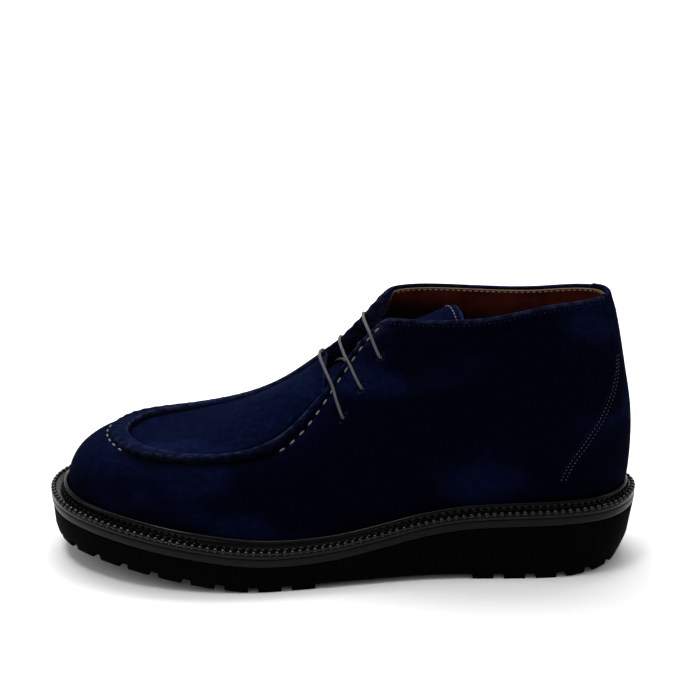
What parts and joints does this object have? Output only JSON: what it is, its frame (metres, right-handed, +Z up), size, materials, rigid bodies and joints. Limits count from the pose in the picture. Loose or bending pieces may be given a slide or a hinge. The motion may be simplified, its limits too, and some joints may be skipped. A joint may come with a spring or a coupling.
{
  "type": "chukka boot",
  "caption": "Left suede chukka boot with a raised apron seam, laced facing, open ankle collar, storm welt and lugged rubber sole.",
  "frame": {"origin": "on the floor, in the middle of the sole's length and width", "axes": "+Z up from the floor, -Y towards the toe, +Y towards the heel, +X towards the outer side of the left foot"},
  "size_m": [0.112, 0.305, 0.1389],
  "materials": {
    "outsole": "matte moulded rubber",
    "midsole": "smooth satin rubber",
    "welt": "satin, wheeled at the edge",
    "insole": "smooth leather",
    "lining": "smooth leather",
    "suede": "brushed suede",
    "thread": "waxed thread",
    "lace": "round waxed cord"
  },
  "bodies": {
    "root": {"outsole": "outsole", "midsole": "midsole", "welt": "welt", "insole": "insole", "upper": "suede", "heel_counter": "suede", "tongue": "suede", "lace_bar_1": "lace", "lace_bar_2": "lace", "lace_bar_3": "lace"}
  },
  "joints": []
}
